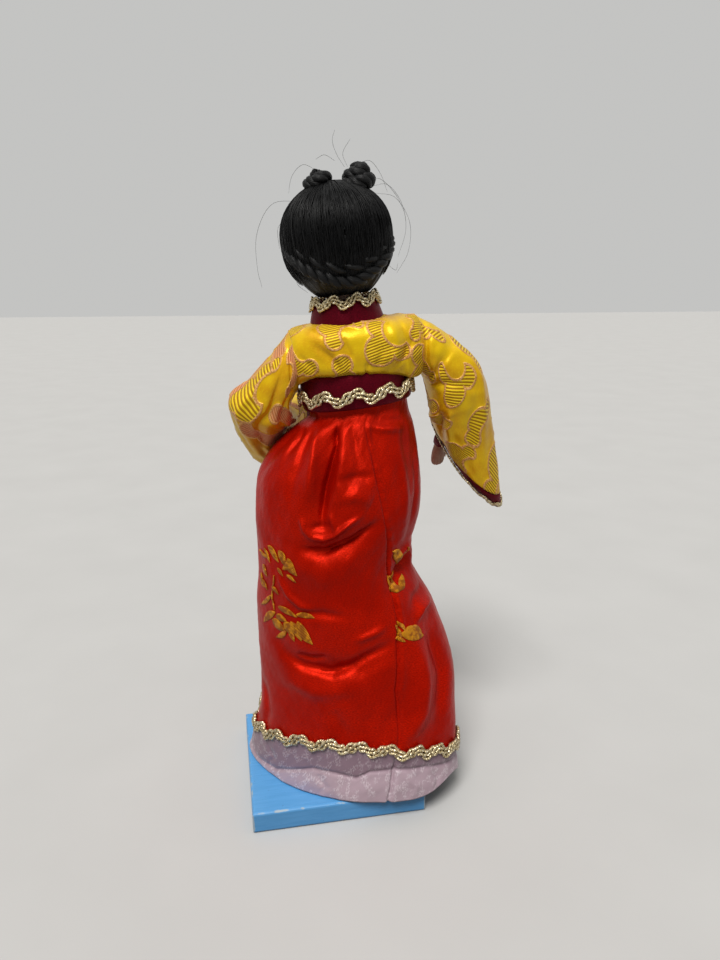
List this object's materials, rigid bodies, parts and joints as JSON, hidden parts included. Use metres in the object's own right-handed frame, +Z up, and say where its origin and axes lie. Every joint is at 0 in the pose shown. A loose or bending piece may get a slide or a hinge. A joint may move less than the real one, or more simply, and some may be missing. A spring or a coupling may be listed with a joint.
{
  "type": "silk doll",
  "caption": "Standing cloth doll in a long satin skirt and short brocade jacket with wide hollow sleeves, on a square block; head, shoulders and elbows turn.",
  "frame": {"origin": "centre of the square block's underside", "axes": "+Z up, X and Y along the block's edges, the doll faces -Y, its left side is +X"},
  "size_m": [0.102, 0.0703, 0.223],
  "materials": {
    "blue_painted_wood": "light blue satin paint, worn at the edges",
    "steel_wire": "drawn wire",
    "padding": "wound cotton strip",
    "red_satin": "red satin",
    "lavender_satin": "lavender satin",
    "maroon_satin": "dark red satin",
    "gold_braid": "woven metal-thread braid",
    "yellow_brocade": "yellow figured silk",
    "painted_head": "painted composition",
    "silk_skin": "flesh-coloured silk over padding",
    "hair_thread": "black silk thread, combed",
    "comb_brass": "thin gilt sheet"
  },
  "bodies": {
    "root": {"base_block": "blue_painted_wood", "leg_wire_left": "steel_wire", "leg_wire_right": "steel_wire", "leg_wrap_left": "padding", "leg_wrap_right": "padding", "skirt": "red_satin", "skirt_hem_band": "lavender_satin", "skirt_hem_trim": "gold_braid", "torso_core": "padding", "neck_post": "steel_wire", "waistband": "maroon_satin", "waistband_trim": "gold_braid", "jacket_bodice": "yellow_brocade", "lapel_right": "maroon_satin", "lapel_left": "maroon_satin", "collar_band": "maroon_satin", "collar_trim": "gold_braid", "ribbon_tie": "maroon_satin"},
    "head": {"head": "painted_head", "hair_cap": "hair_thread", "hair_bun_left": "hair_thread", "hair_bun_right": "hair_thread", "hair_nape_roll": "hair_thread", "hair_comb": "comb_brass"},
    "left_arm": {"upper_arm_left": "padding", "sleeve_left": "yellow_brocade", "cuff_left": "maroon_satin", "cuff_trim_left": "gold_braid"},
    "left_forearm": {"forearm_left": "padding", "wrist_band_left": "maroon_satin", "hand_left": "silk_skin"},
    "right_arm": {"upper_arm_right": "padding", "sleeve_right": "yellow_brocade", "cuff_right": "maroon_satin", "cuff_trim_right": "gold_braid"},
    "right_forearm": {"forearm_right": "padding", "wrist_band_right": "maroon_satin", "hand_right": "silk_skin"}
  },
  "joints": [
    {"name": "head_turn", "type": "hinge", "parent": "root", "child": "head", "pos_m": [-0.00866, 0, 0.17209], "axis": [0.1271, 0, 0.9919], "range_deg": [-40, 40]},
    {"name": "left_shoulder", "type": "hinge", "parent": "root", "child": "left_arm", "pos_m": [0.00997, 0, 0.16053], "axis": [-0.9919, 0, 0.1271], "range_deg": [0, 45]},
    {"name": "right_shoulder", "type": "hinge", "parent": "root", "child": "right_arm", "pos_m": [-0.03258, 0, 0.16598], "axis": [-0.9919, 0, 0.1271], "range_deg": [-20, 60]},
    {"name": "left_elbow", "type": "hinge", "parent": "left_arm", "child": "left_forearm", "pos_m": [0.02195, -0.0067, 0.13953], "axis": [0.7712, -0.5742, 0.2749], "range_deg": [0, 18]},
    {"name": "right_elbow", "type": "hinge", "parent": "right_arm", "child": "right_forearm", "pos_m": [-0.04916, 0.0006, 0.14632], "axis": [0.755, 0.4931, -0.4323], "range_deg": [0, 20]}
  ]
}
